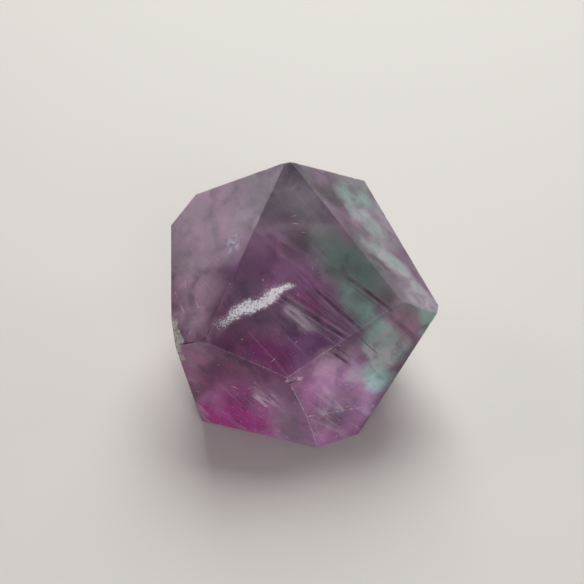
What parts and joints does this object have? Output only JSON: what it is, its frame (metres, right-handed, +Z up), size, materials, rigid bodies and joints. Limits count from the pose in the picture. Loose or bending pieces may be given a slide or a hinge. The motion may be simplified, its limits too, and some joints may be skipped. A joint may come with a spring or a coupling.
{
  "type": "fluorite polyhedron",
  "caption": "Polished see-through crystal with irregular flat facets, zoned purple and green, standing on a flat base, with a small patch of rough natural skin on one corner.",
  "frame": {"origin": "middle of the stone's plan, on the plane of its flat base", "axes": "+Z up out of the base, -Y towards the front where the large front table faces, +X to the right seen from the front"},
  "size_m": [0.0554, 0.0514, 0.0474],
  "materials": {
    "fluorite": "hand polished, slightly satin, see-through"
  },
  "bodies": {
    "root": {"fluorite_stone": "fluorite"}
  },
  "joints": []
}
